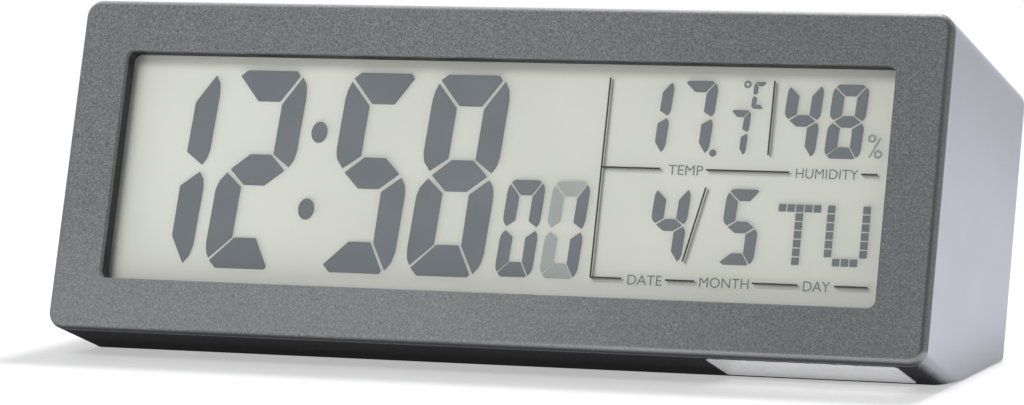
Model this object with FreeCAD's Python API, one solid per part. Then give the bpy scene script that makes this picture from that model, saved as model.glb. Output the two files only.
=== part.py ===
import FreeCAD, Part
import math
import os

V = FreeCAD.Vector

# A table clock with thermometer and hygrometer: a rectangular case that leans back,
# cut flat underneath, with a large liquid crystal display in its face.
# Every piece is drawn in the case's own frame and is then stood up at the end.
# In the case's frame x runs across, y runs back from the face and z runs up the face.

# Case
case_width = 180.0
face_height = 67.5
case_depth = 60.5
lean_angle = 18.0
underside_run = 20.0
corner_round = 3.4
front_rim_round = 1.3
rear_rim_round = 1.5
rear_foot_round = 3.4
wall = 2.0
back_wall = 2.2
front_plate = 2.4
frame_side = 1.8
seam_gap = 0.15
spigot_wall = 1.2
spigot_reach = 4.0
spigot_gap = 0.15
overrun = 1.0

# Window in the face
face_border = 10.5
window_corner = 1.6
lip_depth = 0.8
lip_round = 0.35
liner_wall = 0.8
liner_gap = 0.05
surround_lip = 1.3

# Display stack
window_thickness = 1.2
glass_thickness = 0.7
segment_thickness = 0.1
reflector_thickness = 0.2
glass_side_overlap = 2.2
glass_end_overlap = 1.55
contact_ledge = 1.6
pocket_gap = 0.2
pocket_wall = 1.5
contact_strip_width = 1.2
contact_strip_inset = 6.7
pad_side_inset = 8.7
pad_end_inset = 4.8

# Main board and its screws
board_thickness = 1.6
board_gap = 2.8
board_edge_gap = 0.6
board_boss_radius = 1.7
board_boss_clear = 0.6
board_boss_inset = 30.0
board_screw_radius = 1.0
board_screw_head = 1.7
board_screw_head_height = 1.3
board_screw_length = 6.0
screw_gap = 0.05

# Screws that join the front frame to the housing
case_boss_radius = 2.65
case_boss_length = 9.6
case_boss_clear = 0.95
lower_boss_height = 21.0
case_post_radius = 3.75
case_post_shelf = 3.0
case_post_gap = 0.1
case_screw_radius = 1.3
case_screw_head = 2.3
case_screw_head_height = 1.9
case_screw_length = 10.0
case_bore_radius = 2.5
case_hole_radius = 1.5

# Battery bay, cells and door
cell_radius = 7.1
cell_length = 50.5
cell_nub_radius = 2.75
cell_nub_length = 1.2
cell_edge_round = 0.5
cell_gap = 0.4
bay_length = 56.9
bay_wall = 1.5
door_thickness = 2.0
door_overlap = 2.5
door_gap = 0.25
door_inset = 0.1
door_corner = 2.0
door_ledge = 1.4
door_seat_gap = 0.15
door_pad_margin = 2.5
door_cell_gap = 0.4
door_pin_radius = 0.6
door_pin_length = 1.2
door_pin_gap = 0.06
finger_scoop_radius = 4.6
finger_scoop_depth = 1.9
finger_scoop_width = 13.0
contact_thickness = 0.4
contact_size = 10.0
contact_width = 7.0
contact_touch = 0.05
tab_width = 2.4
tab_reach = 2.4
tab_slot_gap = 0.1
lead_radius = 0.6
lead_offset = 4.6
lead_drop = 6.0

# Keys on the back
key_width = 10.0
key_height = 5.5
key_corner = 1.3
key_proud = 1.0
key_edge_round = 0.4
key_gap = 0.2
key_travel = 0.8
key_flange = 1.0
key_flange_thickness = 1.0
key_flange_gap = 0.3
key_stem_radius = 1.6
key_spacing = 16.0
key_upper_rise = 9.0
key_lower_drop = 1.0
tact_size = 6.0
tact_height = 3.5
tact_hole_gap = 0.15
tact_entry = 0.2
tact_end_gap = 0.8

# Small board behind the keys
key_board_thickness = 1.2
key_board_distance = 9.1
key_board_half_width = 17.0
key_board_rise = 15.5
key_board_drop = 19.5
post_radius = 2.3
post_reach = 13.0
post_drop = 15.0

# Alarm slide switch
slider_drop = 11.0
slider_travel = 3.0
slider_tip_length = 3.0
slider_tip_height = 3.2
slider_tip_proud = 0.9
slider_stem = 2.0
slider_cover_length = 12.0
slider_cover_height = 5.4
slider_cover_thickness = 0.8
slider_body_length = 9.4
slider_body_width = 4.6
slider_body_height = 4.0
slider_body_bore = 2.0
slider_entry = 1.2

# Snooze bar in the top wall
snooze_width = 60.0
snooze_depth = 10.0
snooze_corner = 2.4
snooze_middle_depth = 20.0
snooze_proud = 1.0
snooze_edge_round = 0.5
snooze_flange = 1.3
snooze_flange_thickness = 1.0
snooze_stem_spacing = 22.0
snooze_stem_depth = 16.5
snooze_switch_height = 5.5
snooze_switch_width = 7.0
snooze_switch_inset = 7.0

# Vents, sensors and buzzer
vent_count = 7
vent_pitch = 4.0
vent_width = 1.6
vent_height = 16.0
vent_rise = 8.0
sensor_board_width = 34.0
sensor_board_height = 12.0
sensor_board_thickness = 1.0
sensor_board_distance = 3.3
sensor_post_radius = 1.9
sensor_post_inset = 2.2
sensor_chip_width = 6.0
sensor_chip_height = 5.0
sensor_chip_thickness = 2.4
sensor_chip_offset = 5.0
bead_radius = 1.2
bead_length = 4.5
buzzer_drop = 11.0
buzzer_radius = 9.0
buzzer_thickness = 0.5
buzzer_seat_wall = 1.4
buzzer_seat_height = 2.6
sound_hole_radius = 0.8
sound_hole_ring = 4.5
sound_hole_count = 6

# Parts on the main board
chip_radius = 7.0
chip_height = 1.5
chip_across = 12.0
crystal_radius = 1.0
crystal_length = 6.2
crystal_across = 27.0
plug_width = 10.0
plug_depth = 4.0
plug_height = 4.6
key_board_plug_drop = 16.3
sensor_plug_rise = 4.0
small_part_length = 3.2
small_part_width = 1.6
small_part_height = 1.1
small_part_pitch = 6.0
small_part_across = -20.0
small_part_drop = 4.0
small_part_rows = 3
small_part_columns = 4
ribbon_thickness = 0.5
ribbon_bend = 5.0

# Feet and label
foot_radius = 4.5
foot_thickness = 1.0
foot_show = 0.3
foot_recess_gap = 0.1
foot_side_inset = 14.0
foot_end_inset = 8.0
label_width = 37.4
label_side_inset = 5.9
label_front = 2.8
label_back_inset = 1.8
label_thickness = 0.12
label_corner = 0.8

# Digits of the display, all leaning by the same slope. Each row has a sign, then its
# left, bottom, width and height as shares of the window's width and height.
digit_slope = 0.06
digit_shares = [
    ("1", 0.0104, 0.0839, 0.1009, 0.8699),
    ("2", 0.1283, 0.0839, 0.1009, 0.8699),
    ("5", 0.2821, 0.0839, 0.1009, 0.8699),
    ("8", 0.3981, 0.0839, 0.1009, 0.8699),
    ("0", 0.5125, 0.0937, 0.0484, 0.4140),
    ("1", 0.5704, 0.0937, 0.0484, 0.4140),
    ("1", 0.6689, 0.6384, 0.0447, 0.3118),
    ("7", 0.7246, 0.6384, 0.0447, 0.3118),
    ("7", 0.7881, 0.6384, 0.0264, 0.1914),
    ("4", 0.8573, 0.6354, 0.0447, 0.3118),
    ("8", 0.9133, 0.6354, 0.0447, 0.3118),
    ("c", 0.8158, 0.8362, 0.0170, 0.1140),
    ("4", 0.7026, 0.1783, 0.0453, 0.3183),
    ("5", 0.7931, 0.1783, 0.0453, 0.3183),
]
faint_digit_shares = ("0", 0.5704, 0.0937, 0.0484, 0.4140)
# Dots: middle across, middle up, half width and half height, as the same shares.
dot_shares = {
    "colon_upper": (0.2580, 0.6882, 0.0107, 0.0462),
    "colon_lower": (0.2521, 0.3527, 0.0107, 0.0462),
    "point": (0.7724, 0.6448, 0.0044, 0.0151),
    "degree": (0.8082, 0.9394, 0.0047, 0.0161),
    "degree_hole": (0.8082, 0.9394, 0.0022, 0.0075),
}
# Letters of the day, made of square dots: left, bottom, dot size and pitch of the dots.
day_letter_shares = {
    "t": (0.8614, 0.1880),
    "u": (0.9224, 0.1880),
}
day_dot_shares = (0.00920, 0.03150)
day_pitch_shares = (0.01088, 0.03675)

# Corners of the seven strokes, as shares of a digit's width and height
stroke_shares = {
    "top": [(0.075, 0.97), (0.165, 1.0), (0.825, 1.0), (0.875, 0.975), (0.66, 0.843), (0.368, 0.843)],
    "upper_right": [
        (0.915, 0.97), (0.978, 0.93), (1.0, 0.878), (1.0, 0.593),
        (0.978, 0.549), (0.925, 0.514), (0.692, 0.578), (0.692, 0.83),
    ],
    "lower_right": [
        (0.915, 0.48), (0.978, 0.443), (1.0, 0.396), (1.0, 0.111),
        (0.966, 0.054), (0.897, 0.017), (0.692, 0.153), (0.68, 0.405),
    ],
    "bottom": [
        (0.08, 0.037), (0.175, 0.0), (0.83, 0.0), (0.855, 0.015), (0.654, 0.155), (0.368, 0.155),
    ],
    "lower_left": [
        (0.118, 0.48), (0.03, 0.435), (0.0, 0.39), (0.0, 0.124),
        (0.019, 0.079), (0.062, 0.049), (0.336, 0.156), (0.336, 0.41),
    ],
    "upper_left": [
        (0.056, 0.954), (0.019, 0.915), (0.0, 0.865), (0.0, 0.606),
        (0.025, 0.564), (0.118, 0.517), (0.336, 0.581), (0.336, 0.833),
    ],
    "middle": [
        (0.156, 0.497), (0.386, 0.575), (0.667, 0.575), (0.879, 0.497), (0.642, 0.419), (0.368, 0.419),
    ],
}
strokes_of = {
    "0": ["top", "upper_right", "lower_right", "bottom", "lower_left", "upper_left"],
    "1": ["upper_right", "lower_right"],
    "2": ["top", "upper_right", "middle", "lower_left", "bottom"],
    "4": ["upper_left", "middle", "upper_right", "lower_right"],
    "5": ["top", "upper_left", "middle", "lower_right", "bottom"],
    "7": ["top", "upper_right", "lower_right"],
    "8": list(stroke_shares),
    "c": ["top", "upper_left", "lower_left", "bottom"],
}
day_letter_rows = {
    "t": ["#####", "..#..", "..#..", "..#..", "..#..", "..#..", "..#.."],
    "u": ["#...#", "#...#", "#...#", "#...#", "#...#", "#...#", ".###."],
}

# Shares of a piece's own size, and how closely places are matched
vent_round_share = 0.49
wire_bend_share = 0.45
wire_first_share = 0.3
wire_second_share = 0.65
cross_arm_share = 0.6
cross_slot_share = 0.12
screw_round_share = 0.33
resin_round_share = 0.8
bead_round_share = 0.6
ceramic_share = 0.7
cable_width_share = 0.8
leaf_knee_share = 0.1
leaf_root_share = 0.8
leaf_foot_near_share = 1.5
leaf_foot_far_share = 2.5
same_direction = 1e-6
same_place = 1e-4

# Worked out from the sizes above
half_width = case_width / 2
lean = math.radians(lean_angle)
front_edge_height = foot_show + underside_run * math.sin(lean)
front_rim_inset = front_rim_round * (math.cos(lean) + math.sin(lean) - 1)
rear_rim_inset = rear_rim_round * (math.cos(lean) + math.sin(lean) - 1)
overall_depth = case_depth * math.cos(lean) + face_height * math.sin(lean)
stand_back = -(overall_depth + front_rim_inset - rear_rim_inset) / 2
stand = FreeCAD.Placement(V(0, stand_back, front_edge_height), FreeCAD.Rotation(V(1, 0, 0), -lean_angle))
window_half_width = half_width - face_border
window_bottom = face_border
window_top = face_height - face_border
window_middle = face_height / 2
window_width = 2 * window_half_width
window_height = window_top - window_bottom
base_front = stand_back + underside_run * math.cos(lean)
back_foot_height = (foot_show - front_edge_height + case_depth * math.sin(lean)) / math.cos(lean)
base_back = stand_back + case_depth * math.cos(lean) + back_foot_height * math.sin(lean)
foot_front = base_front + foot_end_inset
foot_rear = base_back - foot_end_inset
housing_front = frame_side + seam_gap
back_inside = case_depth - back_wall
spigot_half_width = half_width - wall - spigot_gap
spigot_bottom = wall + spigot_gap
spigot_top = face_height - wall - spigot_gap
spigot_end = frame_side + spigot_reach
window_front = front_plate + surround_lip
front_glass_front = window_front + window_thickness
segment_front = front_glass_front + glass_thickness
rear_glass_front = segment_front + segment_thickness
reflector_front = rear_glass_front + glass_thickness
reflector_back = reflector_front + reflector_thickness
board_front = reflector_back + board_gap
board_back = board_front + board_thickness
stack_width = window_width + 2 * glass_side_overlap
rear_glass_height = window_height + 2 * glass_end_overlap
front_glass_height = rear_glass_height + 2 * contact_ledge
contact_strip_length = stack_width - 2 * contact_strip_inset
pad_width = stack_width - 2 * pad_side_inset
pad_height = rear_glass_height - 2 * pad_end_inset
pocket_half_width = stack_width / 2 + pocket_gap
pocket_half_height = front_glass_height / 2 + pocket_gap
surround_half_width = pocket_half_width + pocket_wall
surround_half_height = pocket_half_height + pocket_wall
board_boss_across = half_width - board_boss_inset
board_boss_rise = spigot_top - spigot_wall - screw_gap * 2 - board_boss_radius - window_middle
case_boss_across = half_width - wall - spigot_gap - case_boss_radius
upper_boss_height = face_height - wall - spigot_gap - case_boss_radius
case_boss_end = front_plate + case_boss_length
case_post_front = case_boss_end + case_post_gap
case_shelf_back = case_post_front + case_post_shelf
case_boss_places = [
    (side * case_boss_across, height)
    for side in (-1, 1)
    for height in (lower_boss_height, upper_boss_height)
]
board_boss_places = [
    (step * board_boss_across, window_middle + side * board_boss_rise)
    for side in (-1, 1)
    for step in (-1, 0, 1)
]
bay_half_length = bay_length / 2
bay_half_height = 2 * cell_radius + 1.5 * cell_gap
bay_middle_height = (back_foot_height + face_height) / 2
bay_bottom = bay_middle_height - bay_half_height
bay_top = bay_middle_height + bay_half_height
door_face = case_depth - door_inset
door_seat = door_face - door_thickness - door_seat_gap
door_pad_front = door_seat - door_ledge
cell_depth = door_seat - door_cell_gap - cell_radius
bay_floor = cell_depth - cell_radius - cell_gap / 4
upper_cell_height = bay_middle_height + cell_radius + cell_gap / 2
lower_cell_height = bay_middle_height - cell_radius - cell_gap / 2
door_half_width = bay_half_length + door_overlap
door_bottom = bay_bottom - door_overlap
door_top = bay_top + door_overlap
hinge_depth = door_face - door_thickness / 2
hinge_height = door_bottom + door_thickness / 2
cell_reach = bay_length - 2 * contact_thickness - 2 * contact_touch - cell_length
key_board_front = back_inside - key_board_distance - key_board_thickness
key_board_back = key_board_front + key_board_thickness
tact_back = key_board_back + tact_height
tact_hole_depth = tact_entry + key_travel + tact_end_gap
key_flange_back = back_inside - key_flange_gap
key_flange_front = key_flange_back - key_flange_thickness
key_middle = (bay_half_length + bay_wall + case_boss_across - case_post_radius) / 2
key_left = key_middle - key_spacing / 2
key_right = key_middle + key_spacing / 2
key_upper = bay_middle_height + key_upper_rise
key_lower = bay_middle_height - key_lower_drop
key_places = {
    "mode_key": (key_left, key_upper),
    "set_key": (key_right, key_upper),
    "down_key": (key_left, key_lower),
    "up_key": (key_right, key_lower),
}
key_post_places = [
    (key_middle, (key_upper + key_lower) / 2),
    (key_middle - post_reach, bay_middle_height - post_drop),
    (key_middle + post_reach, bay_middle_height - post_drop),
]
slider_height = bay_middle_height - slider_drop
slider_rest = key_middle - slider_travel / 2
slider_body_back = key_board_back + slider_body_height
snooze_flange_top = face_height - wall - key_flange_gap
snooze_flange_bottom = snooze_flange_top - snooze_flange_thickness
snooze_switch_top = face_height - snooze_switch_inset
vent_middle = -key_middle
vent_middle_height = bay_middle_height + vent_rise
buzzer_height = bay_middle_height - buzzer_drop
key_board_plug_height = bay_middle_height - key_board_plug_drop
sensor_plug_height = window_middle + sensor_plug_rise
small_part_middle = window_middle - small_part_drop
label_right = half_width - label_side_inset
label_left = label_right - label_width
label_back = underside_run - label_back_inset
sensor_board_back = back_inside - sensor_board_distance
sensor_board_front = sensor_board_back - sensor_board_thickness
sensor_post_spacing = sensor_board_width / 2 - sensor_post_inset


def block(x0, x1, y0, y1, z0, z1):
    return Part.makeBox(x1 - x0, y1 - y0, z1 - z0, V(x0, y0, z0))


def rod(start, direction, length, radius):
    return Part.makeCylinder(radius, length, start, direction)


def join(first, *others):
    """Make one solid of pieces that touch."""
    return first.multiFuse(list(others)).removeSplitter()


def less(first, *tools):
    return first.cut(Part.makeCompound(list(tools)))


def edges_along(shape, direction):
    """The straight edges that run in one direction."""
    found = []
    for edge in shape.Edges:
        if isinstance(edge.Curve, Part.Line):
            along = abs(edge.tangentAt(edge.FirstParameter).dot(direction))
            if abs(along - 1) < same_direction:
                found.append(edge)
    return found


def edges_at(shape, axis, place):
    """The edges that lie in a plane square to an axis."""
    found = []
    for edge in shape.Edges:
        low = getattr(edge.BoundBox, axis + "Min")
        high = getattr(edge.BoundBox, axis + "Max")
        if abs(low - place) < same_place and abs(high - place) < same_place:
            found.append(edge)
    return found


def edges_within(edges, half_reach, low, high):
    """Those of some edges that lie inside an upright rectangle."""
    return [
        edge
        for edge in edges
        if edge.BoundBox.XMin > -half_reach
        and edge.BoundBox.XMax < half_reach
        and edge.BoundBox.ZMin > low
        and edge.BoundBox.ZMax < high
    ]


def rounded_block(x0, x1, y0, y1, z0, z1, corner, direction=V(0, 1, 0)):
    """A block whose four edges along one direction are rounded."""
    solid = block(x0, x1, y0, y1, z0, z1)
    return solid.makeFillet(corner, edges_along(solid, direction))


def below(height):
    """Everything under a level of the standing clock, in the case's frame."""
    reach = case_width + case_depth
    solid = block(-reach, reach, -reach, reach, height - reach, height)
    solid.Placement = stand.inverse()
    return solid


def standing(solid):
    """A piece drawn on the table's level, brought into the case's frame."""
    solid.Placement = stand.inverse().multiply(solid.Placement)
    return solid


def tube(points, radius):
    """A wire of straight runs joined by arcs as large as the runs allow."""
    edges = []
    start = points[0]
    for before, corner, after in zip(points, points[1:], points[2:]):
        come = (corner - before).normalize()
        go = (after - corner).normalize()
        half_turn = come.getAngle(go) / 2
        shorter = min(corner.distanceToPoint(before), corner.distanceToPoint(after))
        setback = wire_bend_share * shorter
        arc_start = corner - come * setback
        arc_end = corner + go * setback
        bend = setback / math.tan(half_turn)
        towards = (go - come).normalize()
        arc_middle = corner + towards * (bend / math.cos(half_turn) - bend)
        edges.append(Part.LineSegment(start, arc_start).toShape())
        edges.append(Part.Arc(arc_start, arc_middle, arc_end).toShape())
        start = arc_end
    edges.append(Part.LineSegment(start, points[-1]).toShape())
    path = Part.Wire(edges)
    first = (points[1] - points[0]).normalize()
    ring = Part.Wire(Part.makeCircle(radius, points[0], first))
    return path.makePipeShell([ring], True, False)


def front_frame():
    """The face with its window, a short side all round and a spigot behind."""
    face = rounded_block(-half_width, half_width, 0, frame_side, 0, face_height, corner_round)
    face = face.makeFillet(front_rim_round, edges_at(face, "Y", 0))
    spigot = rounded_block(
        -spigot_half_width, spigot_half_width, frame_side / 2, spigot_end,
        spigot_bottom, spigot_top, corner_round - wall,
    )
    hollow = block(
        -spigot_half_width + spigot_wall, spigot_half_width - spigot_wall,
        front_plate, spigot_end + overrun, spigot_bottom + spigot_wall, spigot_top - spigot_wall,
    )
    frame = less(join(face, spigot), hollow)
    case_bosses = [
        rod(V(x, front_plate / 2, z), V(0, 1, 0), case_boss_end - front_plate / 2, case_boss_radius)
        for x, z in case_boss_places
    ]
    board_bosses = [
        rod(V(x, front_plate / 2, z), V(0, 1, 0), board_front - front_plate / 2, board_boss_radius)
        for x, z in board_boss_places
    ]
    frame = join(frame, *case_bosses, *board_bosses)
    opening = rounded_block(
        -window_half_width, window_half_width, -overrun, front_plate + overrun,
        window_bottom, window_top, window_corner,
    )
    rebate_side = liner_wall + liner_gap
    rebate = rounded_block(
        -window_half_width - rebate_side, window_half_width + rebate_side, lip_depth, front_plate + overrun,
        window_bottom - rebate_side, window_top + rebate_side, window_corner + rebate_side,
    )
    case_pilots = [
        rod(V(x, front_plate, z), V(0, 1, 0), case_boss_end, case_screw_radius + screw_gap)
        for x, z in case_boss_places
    ]
    board_pilots = [
        rod(V(x, front_plate, z), V(0, 1, 0), board_front, board_screw_radius + screw_gap)
        for x, z in board_boss_places
    ]
    frame = less(frame, opening, rebate, *case_pilots, *board_pilots)
    rim = edges_within(
        edges_at(frame, "Y", 0), window_half_width + lip_round,
        window_bottom - lip_round, window_top + lip_round,
    )
    return frame.makeFillet(lip_round, rim)


def rear_foot_corner():
    """What comes off the edge where the flat underside meets the back, to leave it round."""
    half_turn = (math.pi / 2 + lean) / 2
    corner = V(0, case_depth, back_foot_height)
    up = V(0, 0, 1)
    forward = V(0, -math.cos(lean), -math.sin(lean))
    inward = (up + forward).normalize()
    back_end = corner + up * (rear_foot_round / math.tan(half_turn))
    base_end = corner + forward * (rear_foot_round / math.tan(half_turn))
    arc_middle = corner + inward * (rear_foot_round / math.sin(half_turn) - rear_foot_round)
    past_back = back_end + V(0, overrun, 0)
    past_corner = corner - inward * (overrun / math.sin(half_turn))
    past_base = base_end + V(0, math.sin(lean), -math.cos(lean)) * overrun
    outline = [Part.Arc(base_end, arc_middle, back_end).toShape()]
    for start, end in (
        (back_end, past_back), (past_back, past_corner), (past_corner, past_base), (past_base, base_end)
    ):
        outline.append(Part.LineSegment(start, end).toShape())
    profile = Part.Face(Part.Wire(outline))
    profile.translate(V(-half_width - overrun, 0, 0))
    return profile.extrude(V(2 * (half_width + overrun), 0, 0))


def housing_outside():
    body = rounded_block(
        -half_width, half_width, housing_front, case_depth, 0, face_height, corner_round
    )
    body = body.cut(below(foot_show))
    body = body.makeFillet(rear_rim_round, edges_at(body, "Y", case_depth))
    return body.cut(rear_foot_corner())


def housing_inside():
    hollow = rounded_block(
        -half_width + wall, half_width - wall, housing_front - overrun, back_inside,
        wall, face_height - wall, corner_round - wall,
    )
    return hollow.cut(below(foot_show + wall))


def key_outline(x, z, margin, y0, y1):
    """A key's rounded plan, grown by a margin."""
    return rounded_block(
        x - key_width / 2 - margin, x + key_width / 2 + margin, y0, y1,
        z - key_height / 2 - margin, z + key_height / 2 + margin, key_corner + margin,
    )


def rear_housing():
    """The deep shell behind the frame, with its battery bay, posts and openings."""
    shell = housing_outside().cut(housing_inside())
    root = back_inside + back_wall / 2
    bay = block(
        -bay_half_length - bay_wall, bay_half_length + bay_wall, bay_floor - bay_wall, root,
        bay_bottom - bay_wall, bay_top + bay_wall,
    )
    pad = rounded_block(
        -door_half_width - door_pad_margin, door_half_width + door_pad_margin, door_pad_front, root,
        door_bottom - door_pad_margin, door_top + door_pad_margin, door_corner,
    )
    posts = [
        rod(V(x, case_post_front, z), V(0, 1, 0), root - case_post_front, case_post_radius)
        for x, z in case_boss_places
    ]
    key_posts = [
        rod(V(x, key_board_back, z), V(0, 1, 0), root - key_board_back, post_radius)
        for x, z in key_post_places
    ]
    sensor_posts = [
        rod(
            V(vent_middle + side * sensor_post_spacing, sensor_board_back, vent_middle_height),
            V(0, 1, 0), sensor_board_distance + back_wall / 2, sensor_post_radius,
        )
        for side in (-1, 1)
    ]
    buzzer_seat = rod(
        V(vent_middle, back_inside - buzzer_seat_height, buzzer_height), V(0, 1, 0),
        buzzer_seat_height + back_wall / 2, buzzer_radius + buzzer_seat_wall / 2,
    )
    shell = join(shell, bay, pad, *posts, *key_posts, *sensor_posts, buzzer_seat)
    cuts = [
        block(-bay_half_length, bay_half_length, bay_floor, case_depth + overrun, bay_bottom, bay_top),
        rounded_block(
            -door_half_width - door_gap, door_half_width + door_gap, door_seat, case_depth + overrun,
            door_bottom - door_gap, door_top + door_gap, door_corner,
        ),
        block(
            -door_half_width - door_gap, door_half_width + door_gap, door_seat, case_depth + overrun,
            door_bottom - door_gap, hinge_height,
        ),
        rod(
            V(-door_half_width - door_gap - door_pin_length, hinge_depth, hinge_height), V(1, 0, 0),
            2 * (door_half_width + door_gap + door_pin_length), door_pin_radius + door_pin_gap,
        ),
        rod(
            V(-finger_scoop_width / 2, case_depth + finger_scoop_radius - finger_scoop_depth, door_top),
            V(1, 0, 0), finger_scoop_width, finger_scoop_radius,
        ),
        rod(
            V(vent_middle, back_inside - buzzer_seat_height - overrun, buzzer_height), V(0, 1, 0),
            buzzer_seat_height + overrun, buzzer_radius - buzzer_seat_wall / 2,
        ),
    ]
    for x, z in case_boss_places:
        cuts.append(rod(V(x, case_shelf_back, z), V(0, 1, 0), case_depth, case_bore_radius))
        cuts.append(rod(V(x, case_post_front - overrun, z), V(0, 1, 0), case_depth, case_hole_radius))
    for x, z in key_places.values():
        cuts.append(key_outline(x, z, key_gap, key_flange_front, case_depth + overrun))
    for x, z in key_post_places:
        pilot = V(x, key_board_back - overrun, z)
        cuts.append(rod(pilot, V(0, 1, 0), board_screw_length, board_screw_radius + screw_gap))
    for side in (-1, 1):
        x = vent_middle + side * sensor_post_spacing
        cuts.append(
            rod(
                V(x, sensor_board_back - overrun, vent_middle_height), V(0, 1, 0),
                overrun + sensor_board_distance, board_screw_radius + screw_gap,
            )
        )
    slot_half = (slider_tip_length + slider_travel) / 2 + key_gap
    cuts.append(
        block(
            key_middle - slot_half, key_middle + slot_half, key_flange_front, case_depth + overrun,
            slider_height - slider_tip_height / 2 - key_gap, slider_height + slider_tip_height / 2 + key_gap,
        )
    )
    cuts.append(snooze_outline(key_gap, snooze_flange_bottom, face_height + overrun))
    vent_front = sensor_board_back + sensor_chip_thickness
    for step in range(vent_count):
        x = vent_middle + (step - (vent_count - 1) / 2) * vent_pitch
        cuts.append(
            rounded_block(
                x - vent_width / 2, x + vent_width / 2, vent_front, case_depth + overrun,
                vent_middle_height - vent_height / 2, vent_middle_height + vent_height / 2,
                vent_width * vent_round_share,
            )
        )
    hole_front = V(vent_middle, back_inside - overrun, buzzer_height)
    cuts.append(rod(hole_front, V(0, 1, 0), case_depth, sound_hole_radius))
    for step in range(sound_hole_count):
        turn = 2 * math.pi * step / sound_hole_count
        x = vent_middle + sound_hole_ring * math.cos(turn)
        z = buzzer_height + sound_hole_ring * math.sin(turn)
        cuts.append(rod(V(x, back_inside - overrun, z), V(0, 1, 0), case_depth, sound_hole_radius))
    for z in (upper_cell_height, lower_cell_height):
        cuts.append(tab_slot(z))
    cuts += foot_places(foot_radius + foot_recess_gap, foot_thickness)
    return less(shell, *cuts)


def tab_slot(z):
    """The slot in the bay's end wall that a contact's tab passes through."""
    half = contact_thickness / 2 + tab_slot_gap
    return block(
        -bay_half_length - bay_wall - overrun, -bay_half_length + overrun,
        cell_depth - tab_width / 2 - tab_slot_gap, cell_depth + tab_width / 2 + tab_slot_gap,
        z + contact_size / 2 - 2 * half, z + contact_size / 2,
    )


def display_surround():
    """The black carrier: a liner through the rebate, a lip and a pocket for the display."""
    body = block(
        -surround_half_width, surround_half_width, front_plate, board_front,
        window_middle - surround_half_height, window_middle + surround_half_height,
    )
    liner = rounded_block(
        -window_half_width - liner_wall, window_half_width + liner_wall, lip_depth + liner_gap, window_front,
        window_bottom - liner_wall, window_top + liner_wall, window_corner + liner_wall,
    )
    opening = rounded_block(
        -window_half_width - liner_gap, window_half_width + liner_gap, 0, window_front + overrun,
        window_bottom - liner_gap, window_top + liner_gap, window_corner,
    )
    pocket = block(
        -pocket_half_width, pocket_half_width, window_front, board_front + overrun,
        window_middle - pocket_half_height, window_middle + pocket_half_height,
    )
    notches = [
        rod(V(x, 0, z), V(0, 1, 0), board_front + overrun, case_boss_radius + case_boss_clear)
        for x, z in case_boss_places
    ]
    notches += [
        rod(V(x, 0, z), V(0, 1, 0), board_front + overrun, board_boss_radius + board_boss_clear)
        for x, z in board_boss_places
    ]
    return less(join(body, liner), opening, pocket, *notches)


def stack_plate(height, y0, thickness, width=stack_width):
    """One plate of the display stack, centred behind the window."""
    return block(
        -width / 2, width / 2, y0, y0 + thickness,
        window_middle - height / 2, window_middle + height / 2,
    )


def display_contact_strips():
    """Two rubber strips between the front glass's ledges and the board."""
    ledge_middle = (rear_glass_height + contact_ledge) / 2
    return [
        block(
            -contact_strip_length / 2, contact_strip_length / 2, segment_front, board_front,
            window_middle + side * ledge_middle - contact_strip_width / 2,
            window_middle + side * ledge_middle + contact_strip_width / 2,
        )
        for side in (-1, 1)
    ]


def across(share):
    """A place across the window, from its left side."""
    return window_half_width * (2 * share - 1)


def up(share):
    """A place up the window, from its lower side."""
    return window_bottom + window_height * share


def stroke(name, left_share, bottom_share, width_share, height_share):
    """One stroke of a digit as a thin plate; left is measured at the digit's half height."""
    left = across(left_share)
    bottom = up(bottom_share)
    width = window_width * width_share
    height = window_height * height_share
    corners = []
    for stroke_across_share, stroke_up_share in stroke_shares[name]:
        rise = height * stroke_up_share
        x = left + width * stroke_across_share + digit_slope * (rise - height / 2)
        corners.append(V(x, segment_front, bottom + rise))
    face = Part.Face(Part.makePolygon(corners + corners[:1]))
    return face.extrude(V(0, segment_thickness, 0))


def dot(name):
    """One of the display's round or oval dots."""
    across_share, up_share, half_width_share, half_height_share = dot_shares[name]
    x = across(across_share)
    z = up(up_share)
    middle = V(x, segment_front, z)
    reaches = [V(window_width * half_width_share, 0, 0), V(0, 0, window_height * half_height_share)]
    short, tall = sorted(reaches, key=lambda reach: reach.Length)
    ring = Part.Ellipse(middle + tall, middle + short, middle)
    return Part.Face(Part.Wire(ring.toShape())).extrude(V(0, segment_thickness, 0))


def day_letter(sign):
    """An upright letter of square dots."""
    left_share, bottom_share = day_letter_shares[sign]
    dot_width = window_width * day_dot_shares[0]
    dot_height = window_height * day_dot_shares[1]
    step_across = window_width * day_pitch_shares[0]
    step_up = window_height * day_pitch_shares[1]
    found = []
    for row, line in enumerate(reversed(day_letter_rows[sign])):
        z = up(bottom_share) + row * step_up
        for column, mark in enumerate(line):
            if mark == "#":
                x = across(left_share) + column * step_across
                found.append(block(x, x + dot_width, segment_front, rear_glass_front, z, z + dot_height))
    return found


def display_segments():
    """The dark strokes: time, seconds, temperature, humidity, date and day."""
    found = []
    for sign, *place_shares in digit_shares:
        found += [stroke(name, *place_shares) for name in strokes_of[sign]]
    found += [dot("colon_upper"), dot("colon_lower"), dot("point")]
    found.append(dot("degree").cut(dot("degree_hole")))
    for sign in day_letter_rows:
        found += day_letter(sign)
    return found


def display_faint_segments():
    """Strokes of the last seconds digit that are off but can still be seen."""
    sign, *place_shares = faint_digit_shares
    faint = [name for name in strokes_of[sign] if name not in strokes_of["1"]]
    return [stroke(name, *place_shares) for name in faint]


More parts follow.
